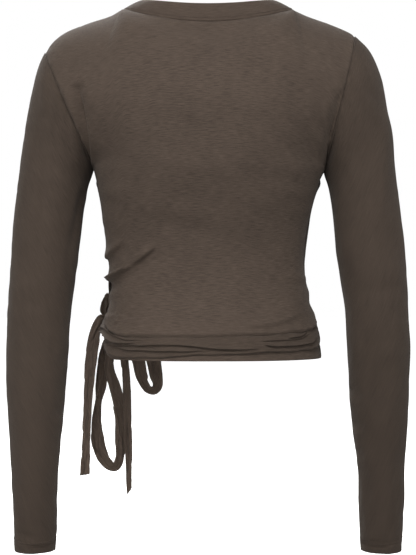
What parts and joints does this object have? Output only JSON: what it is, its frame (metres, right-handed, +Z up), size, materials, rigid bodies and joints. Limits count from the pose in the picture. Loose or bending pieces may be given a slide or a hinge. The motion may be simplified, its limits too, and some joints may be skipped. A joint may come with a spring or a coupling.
{
  "type": "wrap top",
  "caption": "Cropped long-sleeved jersey wrap top with a crossed V front, narrow neckband and ties wound round the waist to a side bow.",
  "frame": {"origin": "the middle between the two points where the shoulder seams meet the neckband", "axes": "+Z up along the body, +Y towards the back, +X towards the wearer's left"},
  "size_m": [0.5026, 0.2298, 0.6902],
  "materials": {
    "jersey": "matt"
  },
  "bodies": {
    "root": {"back": "jersey", "front_under": "jersey", "front_over": "jersey", "sleeve_left": "jersey", "sleeve_right": "jersey", "neckband_back": "jersey", "neckband_under": "jersey", "neckband_over": "jersey", "sash_back": "jersey", "knot": "jersey", "tail_outer": "jersey", "tail_inner": "jersey", "long_loop": "jersey", "front_loop": "jersey", "side_loop": "jersey"}
  },
  "joints": []
}
